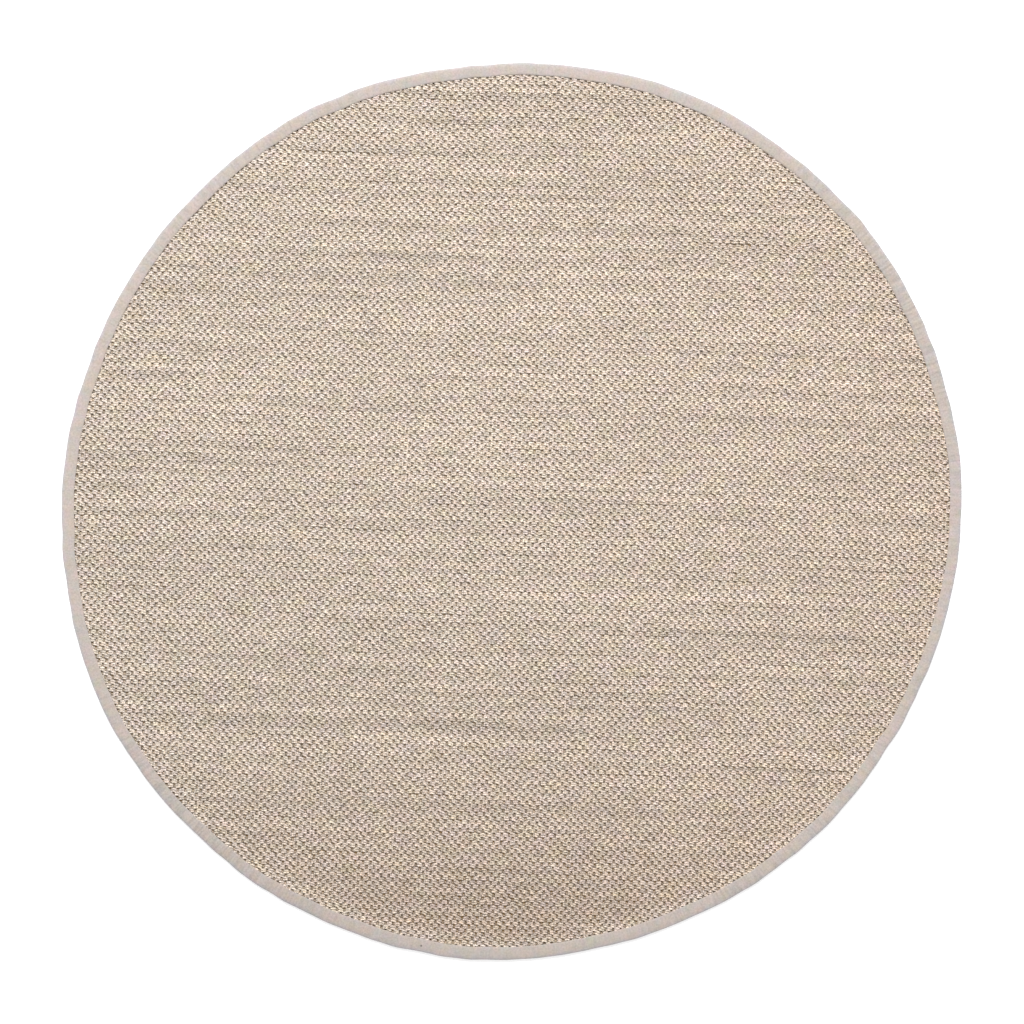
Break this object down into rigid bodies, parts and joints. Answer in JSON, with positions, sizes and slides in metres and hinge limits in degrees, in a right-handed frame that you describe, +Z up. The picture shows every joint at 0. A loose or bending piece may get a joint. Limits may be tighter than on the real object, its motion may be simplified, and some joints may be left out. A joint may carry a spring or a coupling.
{
  "type": "round bordered sisal rug",
  "caption": "Flat round rug of coarse plain-woven sisal, its cut edge wrapped in a pale cotton tape, lying on a floor.",
  "frame": {"origin": "on the floor, under the middle of the rug's outline", "axes": "+Z up, out of the upper face; the weft rows run nearly along X, and +Y is the side that is at the top of the picture"},
  "size_m": [1.3314, 1.3254, 0.0066],
  "materials": {
    "sisal": "coarse dry sisal yarn, woven in pairs of floats, straw beige, matt",
    "cotton_tape": "fine plain cotton tape, warm grey beige, matt"
  },
  "bodies": {
    "root": {"sisal_weave": "sisal", "edge_tape": "cotton_tape"}
  },
  "joints": []
}
